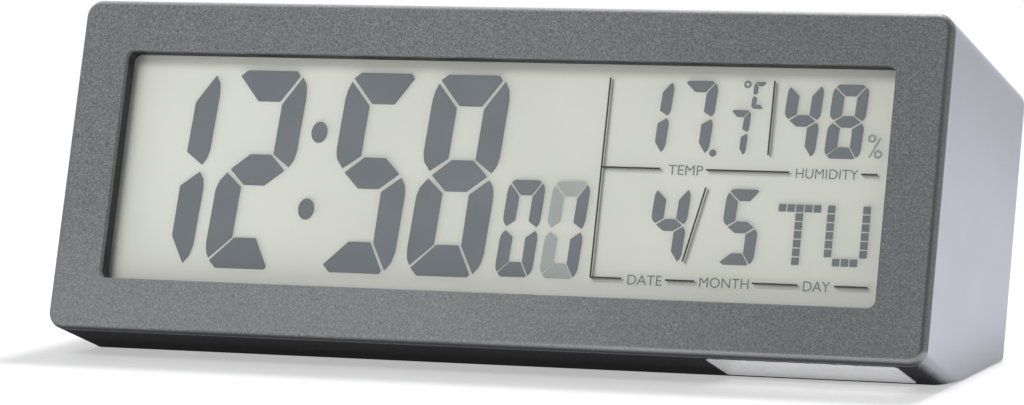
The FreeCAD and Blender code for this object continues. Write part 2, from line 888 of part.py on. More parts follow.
def main_board():
    board = block(
        -surround_half_width, surround_half_width, board_front, board_back,
        spigot_bottom + spigot_wall + board_edge_gap, spigot_top - spigot_wall - board_edge_gap,
    )
    cuts = []
    for x, z in case_boss_places:
        cuts.append(rod(V(x, 0, z), V(0, 1, 0), case_depth, case_boss_radius + case_boss_clear))
    for x, z in board_boss_places:
        cuts.append(rod(V(x, 0, z), V(0, 1, 0), case_depth, board_screw_radius + 2 * screw_gap))
    return less(board, *cuts)


def screw(seat, direction, length, radius, head_radius, head_height):
    """A pan head screw with a cross recess; direction points from tip to head."""
    shank = rod(seat - direction * length, direction, length, radius)
    head = rod(seat, direction, head_height, head_radius)
    top = seat + direction * head_height
    rim = [edge for edge in head.Edges if is_ring_at(edge, top)]
    head = head.makeFillet(head_height * screw_round_share, rim)
    cross = []
    arm = head_radius * cross_arm_share
    slot = head_radius * cross_slot_share
    for half_x, half_z in ((arm, slot), (slot, arm)):
        cross.append(
            block(
                top.x - half_x, top.x + half_x, top.y - head_height / 2, top.y + head_height / 2,
                top.z - half_z, top.z + half_z,
            )
        )
    return less(join(shank, head), *cross)


def is_ring_at(edge, centre):
    return isinstance(edge.Curve, Part.Circle) and edge.Curve.Center.distanceToPoint(centre) < same_place


def board_screws():
    return [
        screw(V(x, board_back, z), V(0, 1, 0), board_screw_length, board_screw_radius,
              board_screw_head, board_screw_head_height)
        for x, z in board_boss_places
    ]


def case_screws():
    return [
        screw(V(x, case_shelf_back, z), V(0, 1, 0), case_screw_length, case_screw_radius,
              case_screw_head, case_screw_head_height)
        for x, z in case_boss_places
    ]


def key_board_screws():
    return [
        screw(V(x, key_board_front, z), V(0, -1, 0), board_screw_length, board_screw_radius,
              board_screw_head, board_screw_head_height)
        for x, z in key_post_places
    ]


def sensor_screws():
    depth = sensor_board_thickness + sensor_board_distance
    found = []
    for side in (-1, 1):
        seat = V(vent_middle + side * sensor_post_spacing, sensor_board_front, vent_middle_height)
        found.append(
            screw(seat, V(0, -1, 0), depth - 2 * screw_gap, board_screw_radius,
                  board_screw_head, board_screw_head_height)
        )
    return found


def clock_chip():
    """The drop of black resin over the clock's bare chip."""
    drop = rod(V(chip_across, board_back, window_middle), V(0, 1, 0), chip_height, chip_radius)
    top = V(chip_across, board_back + chip_height, window_middle)
    rim = [edge for edge in drop.Edges if is_ring_at(edge, top)]
    return drop.makeFillet(chip_height * resin_round_share, rim)


def timing_crystal():
    return rod(
        V(crystal_across, board_back + crystal_radius, window_middle - crystal_length / 2),
        V(0, 0, 1), crystal_length, crystal_radius,
    )


def board_small_parts():
    found = []
    for row in range(small_part_rows):
        for column in range(small_part_columns):
            x = small_part_across + (column - (small_part_columns - 1) / 2) * small_part_pitch
            z = small_part_middle + (row - (small_part_rows - 1) / 2) * small_part_pitch
            found.append(
                block(
                    x - small_part_length / 2, x + small_part_length / 2,
                    board_back, board_back + small_part_height,
                    z - small_part_width / 2, z + small_part_width / 2,
                )
            )
    return found


def plug_block(x, z, y0, y1):
    return block(x - plug_width / 2, x + plug_width / 2, y0, y1, z - plug_height / 2, z + plug_height / 2)


def board_plugs():
    """The sockets that the two flat cables end in."""
    board_plug_back = board_back + plug_depth
    key_plug_front = key_board_front - plug_depth
    sensor_plug_front = sensor_board_front - plug_depth
    return [
        plug_block(key_middle, window_middle, board_back, board_plug_back),
        plug_block(key_middle, key_board_plug_height, key_plug_front, key_board_front),
        plug_block(vent_middle, sensor_plug_height, board_back, board_plug_back),
        plug_block(vent_middle, vent_middle_height, sensor_plug_front, sensor_board_front),
    ]


def flat_cable(x, start, end):
    """A flat cable between two points of depth and height, with two bends."""
    middle = (start[0] + end[0]) / 2
    drop = abs(start[1] - end[1])
    first = middle - drop / 2
    last = middle + drop / 2
    width = plug_width * cable_width_share
    points = [
        V(x - width / 2, start[0], start[1]),
        V(x - width / 2, first, start[1]),
        V(x - width / 2, last, end[1]),
        V(x - width / 2, end[0], end[1]),
    ]
    edges = []
    for side in (-1, 1):
        offset = side * ribbon_thickness / 2
        edges.append([point + V(0, 0, offset) for point in points])
    outline = edges[0] + edges[1][::-1]
    solid = Part.Face(Part.makePolygon(outline + outline[:1])).extrude(V(width, 0, 0))
    bends = [
        edge for edge in edges_along(solid, V(1, 0, 0))
        if start[0] + ribbon_thickness < edge.BoundBox.YMin < end[0] - ribbon_thickness
    ]
    return solid.makeFillet(min(ribbon_bend, drop), bends)


def key_ribbon():
    start = (board_back + plug_depth, window_middle)
    end = (key_board_front - plug_depth, key_board_plug_height)
    return flat_cable(key_middle, start, end)


def sensor_ribbon():
    start = (board_back + plug_depth, sensor_plug_height)
    end = (sensor_board_front - plug_depth, vent_middle_height)
    return flat_cable(vent_middle, start, end)


def snooze_outline(margin, z0, z1):
    """The snooze bar's rounded plan, grown by a margin."""
    return rounded_block(
        -snooze_width / 2 - margin, snooze_width / 2 + margin,
        snooze_middle_depth - snooze_depth / 2 - margin, snooze_middle_depth + snooze_depth / 2 + margin,
        z0, z1, snooze_corner + margin, V(0, 0, 1),
    )


def snooze_bar():
    top = face_height + snooze_proud
    bar = snooze_outline(0, snooze_flange_bottom, top)
    bar = bar.makeFillet(snooze_edge_round, edges_at(bar, "Z", top))
    flange = snooze_outline(snooze_flange, snooze_flange_bottom, snooze_flange_top)
    stem_end = snooze_switch_top - tact_entry
    stem_length = snooze_flange_bottom + snooze_flange_thickness / 2 - stem_end
    stems = []
    for side in (-1, 1):
        start = V(side * snooze_stem_spacing, snooze_stem_depth, stem_end)
        stems.append(rod(start, V(0, 0, 1), stem_length, key_stem_radius))
    return join(bar, flange, *stems)


def snooze_switches():
    found = []
    half = snooze_switch_width / 2
    for side in (-1, 1):
        x = side * snooze_stem_spacing
        body = block(
            x - half, x + half, board_back, snooze_stem_depth + half - key_stem_radius / 2,
            snooze_switch_top - snooze_switch_height, snooze_switch_top,
        )
        hole = rod(
            V(x, snooze_stem_depth, snooze_switch_top - tact_hole_depth), V(0, 0, 1),
            tact_hole_depth + overrun, key_stem_radius + tact_hole_gap,
        )
        found.append(body.cut(hole))
    return found


def key(x, z):
    """A key cap with its flange behind the wall and its stem."""
    top = case_depth + key_proud
    cap = key_outline(x, z, 0, key_flange_front, top)
    cap = cap.makeFillet(key_edge_round, edges_at(cap, "Y", top))
    flange = key_outline(x, z, key_flange, key_flange_front, key_flange_back)
    stem_end = tact_back - tact_entry
    stem = rod(V(x, stem_end, z), V(0, 1, 0), key_flange_back - stem_end, key_stem_radius)
    return join(cap, flange, stem)


def key_switches():
    found = []
    half = tact_size / 2
    for x, z in key_places.values():
        body = block(x - half, x + half, key_board_back, tact_back, z - half, z + half)
        hole = rod(
            V(x, tact_back - tact_hole_depth, z), V(0, 1, 0),
            tact_hole_depth + overrun, key_stem_radius + tact_hole_gap,
        )
        found.append(body.cut(hole))
    return found


def key_board():
    board = block(
        key_middle - key_board_half_width, key_middle + key_board_half_width,
        key_board_front, key_board_back,
        bay_middle_height - key_board_drop, bay_middle_height + key_board_rise,
    )
    holes = [
        rod(V(x, 0, z), V(0, 1, 0), case_depth, board_screw_radius + 2 * screw_gap)
        for x, z in key_post_places
    ]
    return less(board, *holes)


def alarm_switch_body():
    half_length = slider_body_length / 2
    half_width_of_body = slider_body_width / 2
    body = block(
        key_middle - half_length, key_middle + half_length, key_board_back, slider_body_back,
        slider_height - half_width_of_body, slider_height + half_width_of_body,
    )
    slot_half = (slider_stem + slider_travel) / 2 + key_gap
    slot_rise = slider_stem / 2 + key_gap
    slot = block(
        key_middle - slot_half, key_middle + slot_half, slider_body_back - slider_body_bore,
        slider_body_back + overrun, slider_height - slot_rise, slider_height + slot_rise,
    )
    return body.cut(slot)


def alarm_switch_slider():
    """The alarm switch's slider with its dust cover, at the off end."""
    tip_back = case_depth + slider_tip_proud
    tip = block(
        slider_rest - slider_tip_length / 2, slider_rest + slider_tip_length / 2,
        key_flange_back, tip_back,
        slider_height - slider_tip_height / 2, slider_height + slider_tip_height / 2,
    )
    tip = tip.makeChamfer(key_edge_round, edges_at(tip, "Y", tip_back))
    cover = block(
        slider_rest - slider_cover_length / 2, slider_rest + slider_cover_length / 2,
        key_flange_back - slider_cover_thickness, key_flange_back,
        slider_height - slider_cover_height / 2, slider_height + slider_cover_height / 2,
    )
    stem = block(
        slider_rest - slider_stem / 2, slider_rest + slider_stem / 2,
        slider_body_back - slider_entry, key_flange_back,
        slider_height - slider_stem / 2, slider_height + slider_stem / 2,
    )
    return join(tip, cover, stem)


def cell(positive_end, z, towards):
    """A cylindrical cell; towards is the side that its positive end points to."""
    direction = V(towards, 0, 0)
    start = V(positive_end - towards * cell_length, cell_depth, z)
    can = rod(start, direction, cell_length - cell_nub_length, cell_radius)
    ends = [edge for edge in can.Edges if isinstance(edge.Curve, Part.Circle)]
    can = can.makeFillet(cell_edge_round, ends)
    nub = rod(
        start + direction * (cell_length - cell_nub_length - cell_edge_round), direction,
        cell_nub_length + cell_edge_round, cell_nub_radius,
    )
    return join(can, nub)


def upper_cell():
    return cell(bay_half_length - contact_thickness - contact_touch, upper_cell_height, 1)


def lower_cell():
    return cell(-bay_half_length + contact_thickness + contact_touch, lower_cell_height, -1)


def contact_leaf(side, z):
    """A springy bent leaf that reaches from the bay's end wall to a cell's flat end."""
    wall_place = side * bay_half_length
    reach = contact_thickness + cell_reach - contact_touch
    half = contact_size / 2
    root = half * leaf_root_share
    knee = contact_size * leaf_knee_share
    inner_knee = knee * leaf_root_share
    inner_reach = reach - contact_thickness
    profile = [
        (contact_thickness, half),
        (reach, knee),
        (reach, -knee),
        (contact_thickness * leaf_foot_far_share, -root),
        (contact_thickness * leaf_foot_near_share, -root),
        (inner_reach, -inner_knee),
        (inner_reach, inner_knee),
        (contact_thickness, root),
    ]
    corners = [V(wall_place - side * x, cell_depth - contact_width / 2, z + rise) for x, rise in profile]
    face = Part.Face(Part.makePolygon(corners + corners[:1]))
    return face.extrude(V(0, contact_width, 0))


def contact_plate(side, z0, z1):
    inner = side * (bay_half_length - contact_thickness)
    outer = side * bay_half_length
    return block(
        min(inner, outer), max(inner, outer),
        cell_depth - contact_width / 2, cell_depth + contact_width / 2, z0, z1,
    )


def contact_tab(z):
    """The soldering tab of an end contact, out through its slot."""
    return block(
        -bay_half_length - bay_wall - tab_reach, -bay_half_length + contact_thickness,
        cell_depth - tab_width / 2, cell_depth + tab_width / 2,
        z + contact_size / 2 - contact_thickness - tab_slot_gap, z + contact_size / 2 - tab_slot_gap,
    )


def positive_contact():
    half = contact_size / 2
    plate = contact_plate(-1, lower_cell_height - half, lower_cell_height + half)
    return join(plate, contact_tab(lower_cell_height))


def negative_contact():
    half = contact_size / 2
    plate = contact_plate(-1, upper_cell_height - half, upper_cell_height + half)
    return join(plate, contact_tab(upper_cell_height), contact_leaf(-1, upper_cell_height))


def bridge_contact():
    """One plate across both cells at the other end, with a leaf for the lower cell."""
    half = contact_size / 2
    plate = contact_plate(1, lower_cell_height - half, upper_cell_height + half)
    return join(plate, contact_leaf(1, lower_cell_height))


def battery_lead(z):
    """A wire from a contact's tab to the main board."""
    x = -bay_half_length - bay_wall - tab_reach + lead_radius
    start = cell_depth - tab_width / 2
    level = z + contact_size / 2 - contact_thickness / 2 - tab_slot_gap
    run = start - board_back
    return tube(
        [
            V(x, start, level),
            V(x, start - run * wire_first_share, level),
            V(x - lead_offset, start - run * wire_second_share, level - lead_drop),
            V(x - lead_offset, board_back, level - lead_drop),
        ],
        lead_radius,
    )


def battery_door():
    """The flap over the cells, on two pins at its lower corners."""
    panel = rounded_block(
        -door_half_width, door_half_width, door_face - door_thickness, door_face,
        door_bottom, door_top, door_corner,
    )
    lower_half = block(
        -door_half_width - overrun, door_half_width + overrun, door_face - door_thickness - overrun,
        door_face + overrun, door_bottom - overrun, hinge_height,
    )
    panel = panel.cut(lower_half)
    roll_start = V(-door_half_width, hinge_depth, hinge_height)
    roll = rod(roll_start, V(1, 0, 0), 2 * door_half_width, door_thickness / 2)
    pin_end = door_half_width + door_gap + door_pin_length - door_pin_gap
    pins = rod(V(-pin_end, hinge_depth, hinge_height), V(1, 0, 0), 2 * pin_end, door_pin_radius)
    return join(panel, roll, pins)


def sensor_board():
    board = block(
        vent_middle - sensor_board_width / 2, vent_middle + sensor_board_width / 2,
        sensor_board_front, sensor_board_back,
        vent_middle_height - sensor_board_height / 2, vent_middle_height + sensor_board_height / 2,
    )
    holes = [
        rod(
            V(vent_middle + side * sensor_post_spacing, 0, vent_middle_height), V(0, 1, 0),
            case_depth, board_screw_radius + 2 * screw_gap,
        )
        for side in (-1, 1)
    ]
    return less(board, *holes)


def humidity_sensor():
    x = vent_middle + sensor_chip_offset
    return block(
        x - sensor_chip_width / 2, x + sensor_chip_width / 2, sensor_board_back,
        sensor_board_back + sensor_chip_thickness,
        vent_middle_height - sensor_chip_height / 2, vent_middle_height + sensor_chip_height / 2,
    )


def temperature_sensor():
    x = vent_middle - sensor_chip_offset
    bead = rod(
        V(x, sensor_board_back + bead_radius, vent_middle_height - bead_length / 2), V(0, 0, 1),
        bead_length, bead_radius,
    )
    ends = [edge for edge in bead.Edges if isinstance(edge.Curve, Part.Circle)]
    return bead.makeFillet(bead_radius * bead_round_share, ends)


def alarm_buzzer():
    """A thin brass disc with a smaller ceramic disc on it, on the seat ring."""
    back = back_inside - buzzer_seat_height
    plate = rod(
        V(vent_middle, back - buzzer_thickness, buzzer_height), V(0, 1, 0), buzzer_thickness, buzzer_radius
    )
    ceramic = rod(
        V(vent_middle, back - 2 * buzzer_thickness, buzzer_height), V(0, 1, 0),
        buzzer_thickness, buzzer_radius * ceramic_share,
    )
    return join(plate, ceramic)


def foot_places(radius, thickness):
    """Four discs at the corners of the base, from the table up."""
    found = []
    for x in (-half_width + foot_side_inset, half_width - foot_side_inset):
        for y in (foot_front, foot_rear):
            found.append(standing(rod(V(x, y, 0), V(0, 0, 1), thickness, radius)))
    return found


def rating_label():
    """The blank foil label on the sloping underside."""
    return rounded_block(
        label_left, label_right, label_front, label_back, -label_thickness, 0, label_corner, V(0, 0, 1)
    )


def save(name, shape):
    """Stand a piece, or a group of like pieces, up and write it out."""
    solids = shape if isinstance(shape, list) else [shape]
    placed = []
    for solid in solids:
        copy = solid.copy()
        copy.Placement = stand.multiply(copy.Placement)
        placed.append(copy)
    result = placed[0] if len(placed) == 1 else Part.makeCompound(placed)
    result.exportStep("parts/" + name + ".step")


def main():
    os.makedirs("parts", exist_ok=True)
    save("front_frame", front_frame())
    save("rear_housing", rear_housing())
    save("display_surround", display_surround())
    save("display_window", stack_plate(front_glass_height, window_front, window_thickness))
    save("display_front_glass", stack_plate(front_glass_height, front_glass_front, glass_thickness))
    save("display_segments", display_segments())
    save("display_faint_segments", display_faint_segments())
    save("display_rear_glass", stack_plate(rear_glass_height, rear_glass_front, glass_thickness))
    save("display_reflector", stack_plate(rear_glass_height, reflector_front, reflector_thickness))
    save("display_contact_strips", display_contact_strips())
    save("display_pad", stack_plate(pad_height, reflector_back, board_gap, pad_width))
    save("main_board", main_board())
    save("board_screws", board_screws())
    save("clock_chip", clock_chip())
    save("timing_crystal", timing_crystal())
    save("board_small_parts", board_small_parts())
    save("board_plugs", board_plugs())
    save("key_ribbon", key_ribbon())
    save("sensor_ribbon", sensor_ribbon())
    save("snooze_bar", snooze_bar())
    save("snooze_switches", snooze_switches())
    save("case_screws", case_screws())
    for name, (x, z) in key_places.items():
        save(name, key(x, z))
    save("key_switches", key_switches())
    save("key_board", key_board())
    save("key_board_screws", key_board_screws())
    save("alarm_switch_body", alarm_switch_body())
    save("alarm_switch_slider", alarm_switch_slider())
    save("upper_cell", upper_cell())
    save("lower_cell", lower_cell())
    save("positive_contact", positive_contact())
    save("negative_contact", negative_contact())
    save("bridge_contact", bridge_contact())
    save("positive_lead", battery_lead(lower_cell_height))
    save("negative_lead", battery_lead(upper_cell_height))
    save("battery_door", battery_door())
    save("sensor_board", sensor_board())
    save("sensor_screws", sensor_screws())
    save("humidity_sensor", humidity_sensor())
    save("temperature_sensor", temperature_sensor())
    save("alarm_buzzer", alarm_buzzer())
    save("base_feet", foot_places(foot_radius, foot_thickness))
    save("rating_label", rating_label())


main()
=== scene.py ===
import math

import bmesh
import bpy
from mathutils import Matrix, Vector


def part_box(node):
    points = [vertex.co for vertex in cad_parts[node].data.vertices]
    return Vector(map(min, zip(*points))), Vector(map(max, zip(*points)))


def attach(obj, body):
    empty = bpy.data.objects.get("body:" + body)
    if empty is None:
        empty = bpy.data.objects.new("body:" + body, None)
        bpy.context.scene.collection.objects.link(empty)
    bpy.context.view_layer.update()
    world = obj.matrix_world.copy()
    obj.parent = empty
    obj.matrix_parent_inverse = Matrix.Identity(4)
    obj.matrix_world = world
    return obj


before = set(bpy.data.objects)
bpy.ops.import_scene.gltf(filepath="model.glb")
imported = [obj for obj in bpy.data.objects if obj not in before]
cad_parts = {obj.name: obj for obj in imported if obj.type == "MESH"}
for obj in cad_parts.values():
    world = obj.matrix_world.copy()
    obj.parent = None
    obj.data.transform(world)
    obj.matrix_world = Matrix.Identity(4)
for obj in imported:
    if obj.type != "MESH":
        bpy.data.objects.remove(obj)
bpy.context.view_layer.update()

# A table clock with thermometer and hygrometer on a pale floor, in soft light.
# Sizes are in millimetres in the case's own frame: x across, y back from the face, z up
# the face. The stand matrix brings them to metres in the frame that the solids stand in.
MM = 0.001

# Case, as in the solids
lean_angle = 18.0
underside_run = 20.0
foot_show = 0.3
face_height = 67.5
case_depth = 60.5
front_rim_round = 1.3
rear_rim_round = 1.5

lean = math.radians(lean_angle)
rim_share = math.cos(lean) + math.sin(lean) - 1
overall_depth = case_depth * math.cos(lean) + face_height * math.sin(lean)
front_edge_height = foot_show + underside_run * math.sin(lean)
stand_back = -(overall_depth + (front_rim_round - rear_rim_round) * rim_share) / 2
stand = (
    Matrix.Translation((0, stand_back * MM, front_edge_height * MM))
    @ Matrix.Rotation(-lean, 4, "X")
    @ Matrix.Scale(MM, 4)
)

# Directions, and how far up the face the case's lower front edge lies, in metres
across_case = (1.0, 0.0, 0.0)
upward = (0.0, 0.0, 1.0)
downward = (0.0, 0.0, -1.0)
up_the_face = (0.0, math.sin(lean), math.cos(lean))
down_the_face = (0.0, -math.sin(lean), -math.cos(lean))
stand_rise = (stand_back * math.sin(lean) + front_edge_height * math.cos(lean)) * MM

# Camera
camera_place = (0.29849, -0.82063, 0.11249)
camera_azimuth = 20.33
camera_elevation = -5.36
camera_roll = -0.14
camera_lens = 154.57

# Depths behind the face of the display's print, of its painted shadow on the reflector and of the
# percent sign
print_depth = 4.93
painted_shadow_depth = 6.36
percent_depth = 5.62
ink_thickness = 0.02
sheet_skim = 0.01


# Finishes


class Finish:
    """A material that is put together from nodes, in the object's own coordinates."""

    def __init__(self, name):
        self.material = bpy.data.materials.new(name)
        self.material.use_nodes = True
        self.nodes = self.material.node_tree.nodes
        self.links = self.material.node_tree.links
        self.nodes.clear()
        source = self.add("ShaderNodeTexCoord")
        self.place = source.outputs["Object"]
        self.facing = source.outputs["Normal"]

    def add(self, kind, values=None, **settings):
        node = self.nodes.new(kind)
        for key, value in settings.items():
            setattr(node, key, value)
        for key, value in (values or {}).items():
            self.feed(node.inputs[key], value)
        return node

    def feed(self, socket, value):
        if isinstance(value, bpy.types.NodeSocket):
            self.links.new(value, socket)
        else:
            socket.default_value = value

    def noise(self, size, detail=2.0, rough=0.5, place=None):
        """Grain of about the given size in millimetres."""
        values = {
            "Vector": place or self.place,
            "Scale": 1 / (size * MM),
            "Detail": detail,
            "Roughness": rough,
        }
        return self.add("ShaderNodeTexNoise", values).outputs["Fac"]

    def cells(self, size):
        """Distance to the nearest of many points, about the given millimetres apart."""
        values = {"Vector": self.place, "Scale": 1 / (size * MM)}
        return self.add("ShaderNodeTexVoronoi", values).outputs["Distance"]

    def stretched(self, x, y, z):
        """The coordinates, drawn out by a factor along each axis."""
        values = {"Vector": self.place, "Scale": (1 / x, 1 / y, 1 / z)}
        return self.add("ShaderNodeMapping", values).outputs["Vector"]

    def along(self, direction, start=0.0):
        """How far a point lies along a direction from a start, in metres."""
        dot = self.add("ShaderNodeVectorMath", operation="DOT_PRODUCT")
        self.feed(dot.inputs[0], self.place)
        dot.inputs[1].default_value = direction
        return self.sum(dot.outputs["Value"], -start)

    def turned(self, direction):
        """How much the surface faces a direction, from -1 to 1."""
        dot = self.add("ShaderNodeVectorMath", operation="DOT_PRODUCT")
        self.feed(dot.inputs[0], self.facing)
        dot.inputs[1].default_value = direction
        return dot.outputs["Value"]

    def maths(self, operation, first, second):
        node = self.add("ShaderNodeMath", operation=operation)
        self.feed(node.inputs[0], first)
        self.feed(node.inputs[1], second)
        return node.outputs[0]

    def sum(self, first, second):
        return self.maths("ADD", first, second)

    def product(self, first, second):
        return self.maths("MULTIPLY", first, second)

    def spread(self, value, low, high, out_low=0.0, out_high=1.0):
        """A smooth step of a value between two limits."""
        values = {
            "Value": value,
            "From Min": low,
            "From Max": high,
            "To Min": out_low,
            "To Max": out_high,
        }
        return self.add("ShaderNodeMapRange", values, interpolation_type="SMOOTHSTEP").outputs["Result"]

    def ramp(self, value, stops):
        """Colours for a value; each stop is a place and a colour."""
        node = self.add("ShaderNodeValToRGB", {"Fac": value})
        points = node.color_ramp.elements
        points[0].position, points[0].color = stops[0][0], (*stops[0][1], 1)
        points[1].position, points[1].color = stops[-1][0], (*stops[-1][1], 1)
        for position, colour in stops[1:-1]:
            points.new(position).color = (*colour, 1)
        return node.outputs["Color"]

    def mix(self, share, first, second):
        node = self.add("ShaderNodeMix", data_type="RGBA")
        self.feed(node.inputs[0], share)
        for index, value in ((6, first), (7, second)):
            if isinstance(value, tuple):
                value = (*value, 1)
            self.feed(node.inputs[index], value)
        return node.outputs[2]

    def bump(self, height, depth):
        """A relief of the given depth in millimetres."""
        values = {"Height": height, "Distance": depth * MM, "Strength": 1.0}
        return self.add("ShaderNodeBump", values).outputs["Normal"]

    def coat(self, shader):
        """Close the material with the shader that it shows."""
        out = self.add("ShaderNodeOutputMaterial")
        self.links.new(shader, out.inputs["Surface"])
        return self.material

    def surface(self, tone, roughness, normal=None, metallic=0.0, gloss=0.5):
        """Close the material as an opaque surface; gloss is how strongly plastic mirrors."""
        values = {
            "Base Color": tone,
            "Roughness": roughness,
            "Metallic": metallic,
            "Specular IOR Level": gloss,
        }
        if normal is not None:
            values["Normal"] = normal
        return self.coat(self.add("ShaderNodeBsdfPrincipled", values).outputs["BSDF"])


def shades(colour, spread, places=(0.3, 0.5, 0.7)):
    """The stops of a ramp through three shades of a colour, from darker to lighter."""
    steps = zip(places, (1 - spread, 1, 1 + spread))
    return [(place, tuple(channel * step for channel in colour)) for place, step in steps]


def moulded(name, colour, roughness=0.5, grain=0.3, relief=0.01, spread=0.1, gloss=0.5):
    """Moulded plastic or rubber with a fine grain."""
    look = Finish(name)
    fine = look.noise(grain, 3.0, 0.6)
    broad = look.noise(grain * 30, 2.0)
    return look.surface(
        look.ramp(look.sum(look.product(fine, 0.7), look.product(broad, 0.3)), shades(colour, spread)),
        roughness=look.spread(fine, 0.3, 0.7, roughness - 0.06, roughness + 0.06),
        gloss=gloss,
        normal=look.bump(fine, relief),
    )


def plated(name, colour, roughness, lines=(1, 1, 1)):
    """Bare or plated metal with fine marks drawn out along an axis."""
    look = Finish(name)
    marks = look.noise(0.2, 3.0, 0.6, look.stretched(*lines))
    haze = look.noise(4.0, 2.0)
    return look.surface(
        look.ramp(haze, shades(colour, 0.12, (0.3, 0.5, 0.75))),
        metallic=1.0,
        roughness=look.spread(marks, 0.3, 0.7, roughness - 0.08, roughness + 0.1),
        normal=look.bump(marks, 0.004),
    )


def frame_paint():
    """Dark grey paint with metallic flakes; painted light makes it paler at the left and on the upper
    rim, and painted shade darkens the right and the lower rim.
    """
    dark, middle, light = (0.078, 0.081, 0.087), (0.136, 0.139, 0.147), (0.222, 0.224, 0.234)
    flake, cloud, highlight_tone = (0.42, 0.42, 0.44), (0.10, 0.10, 0.108), (0.42, 0.42, 0.43)
    right_shade_tone, rim_highlight_tone = (0.04, 0.04, 0.043), (0.32, 0.32, 0.33)
    rim_shade_tone, lower_rim_shade_tone = (0.036, 0.036, 0.039), (0.028, 0.028, 0.031)
    look = Finish("frame_paint")
    grain = look.noise(0.42, 3.0, 0.7)
    clouds = look.noise(5.0, 2.0)
    flakes = look.spread(look.cells(0.6), 0.12, 0.28, 1.0, 0.0)
    across, height = look.along(across_case), look.along(up_the_face, stand_rise)
    rise, sideways = look.turned(up_the_face), look.turned(across_case)

    # The flat face
    tone = look.ramp(grain, [(0.32, dark), (0.5, middle), (0.68, light)])
    tone = look.mix(look.product(flakes, 0.30), tone, flake)
    tone = look.mix(look.spread(clouds, 0.3, 0.7, 0.0, 0.14), tone, cloud)
    # Painted highlight: the face is paler towards its lower left.
    lower_left_highlight = look.product(
        look.spread(across, -0.02, 0.07, 1.0, 0.0), look.spread(height, 0.004, 0.03, 0.11, 0.0)
    )
    tone = look.mix(lower_left_highlight, tone, highlight_tone)
    # Painted shade: the face darkens towards the right.
    tone = look.mix(look.spread(across, -0.02, 0.085, 0.0, 0.29), tone, right_shade_tone)

    # The rounded rim: a painted highlight on top, painted shade at the right, and painted shade below
    # with a painted highlight line
    upper_rim_highlight = look.product(look.spread(rise, 0.05, 0.75), look.spread(grain, 0.25, 0.6, 0.55, 0.85))
    tone = look.mix(upper_rim_highlight, tone, rim_highlight_tone)
    # Painted shade on the right rim.
    right_rim_shade = look.product(
        look.spread(sideways, 0.0, 0.28), look.spread(sideways, 0.45, 0.8, 0.74, 0.3)
    )
    tone = look.mix(right_rim_shade, tone, rim_shade_tone)
    low = look.spread(height, 0.003, 0.005, 0.96, 0.0)
    # Painted highlight: a pale line along the lower rim, stronger towards the right.
    lower_rim_highlight = look.product(look.spread(rise, -0.3, -0.08, 0.36, 0.0), look.spread(across, -0.01, 0.04))
    tone = look.mix(look.product(low, lower_rim_highlight), tone, highlight_tone)
    # Painted shade on the downward-facing lower rim.
    tone = look.mix(look.product(low, look.spread(rise, -0.94, -0.46, 1.0, 0.0)), tone, lower_rim_shade_tone)
    return look.surface(
        tone,
        metallic=0.35,
        roughness=look.spread(grain, 0.3, 0.7, 0.42, 0.62),
        gloss=0.3,
        normal=look.bump(grain, 0.05),
    )


def housing_paint(name, fades_with_painted_shade):
    """Smooth pale grey paint. Where the paint thins out, it leaves bare black plastic underneath,
    and painted shade darkens the top and the foot of the sides and the rounding into the underside."""
    thin, thick, painted_shade_tone = (0.342, 0.342, 0.402), (0.356, 0.356, 0.416), (0.170, 0.170, 0.200)
    bare_plastic = (0.025, 0.025, 0.027)
    look = Finish(name)
    fine = look.noise(0.25, 3.0, 0.6)
    tone = look.ramp(look.noise(14.0, 2.0), [(0.3, thin), (0.7, thick)])
    roughness, metallic, gloss = look.spread(fine, 0.3, 0.7, 0.38, 0.46), 0.2, 0.3
    if fades_with_painted_shade:
        under = look.maths("MAXIMUM", look.turned(down_the_face), look.turned(downward))
        ragged = look.sum(under, look.spread(look.noise(0.8, 3.0, 0.6), 0.3, 0.7, -0.05, 0.05))
        bare = look.spread(ragged, 0.58, 1.0)
        # Painted shade: the sides darken towards their top and their foot, and where they round into the
        # underside.
        sides = look.spread(look.maths("ABSOLUTE", look.turned(across_case), 0.0), 0.3, 0.8)
        foot = look.spread(look.along(upward), 0.0, 0.011, 0.62, 0.0)
        head = look.spread(look.along(up_the_face, stand_rise), 0.032, face_height * MM, 0.0, 0.46)
        painted_shade = look.product(sides, look.maths("MAXIMUM", foot, head))
        painted_shade = look.maths("MAXIMUM", painted_shade, look.spread(under, 0.02, 0.5, 0.0, 0.72))
        tone = look.mix(painted_shade, tone, painted_shade_tone)
        tone = look.mix(bare, tone, bare_plastic)
        roughness = look.sum(roughness, look.product(bare, 0.3))
        metallic = look.spread(bare, 0.0, 1.0, metallic, 0.0)
        gloss = look.spread(bare, 0.0, 1.0, gloss, 0.04)
    return look.surface(
        tone, metallic=metallic, roughness=roughness, gloss=gloss, normal=look.bump(fine, 0.006)
    )


def clear_sheet(name, tint, roughness, mirrored):
    """A clear sheet that light passes straight through. Seen face on it mirrors the given share
    of the light, and the share grows to all of it where the sheet is seen edge on."""
    look = Finish(name)
    slant = look.add("ShaderNodeLayerWeight", {"Blend": 0.5}).outputs["Facing"]
    share = look.sum(look.product(look.maths("POWER", slant, 5.0), 1 - mirrored), mirrored)
    passing = look.add("ShaderNodeBsdfTransparent", {"Color": (*tint, 1)})
    smears = look.noise(18.0, 3.0, 0.6)
    smeared = look.spread(smears, 0.3, 0.75, roughness, roughness + 0.05)
    mirror = look.add("ShaderNodeBsdfGlossy", {"Color": (1, 1, 1, 1), "Roughness": smeared})
    both = look.add("ShaderNodeMixShader")
    look.feed(both.inputs[0], share)
    look.feed(both.inputs[1], passing.outputs["BSDF"])
    look.feed(both.inputs[2], mirror.outputs["BSDF"])
    return look.coat(both.outputs["Shader"])


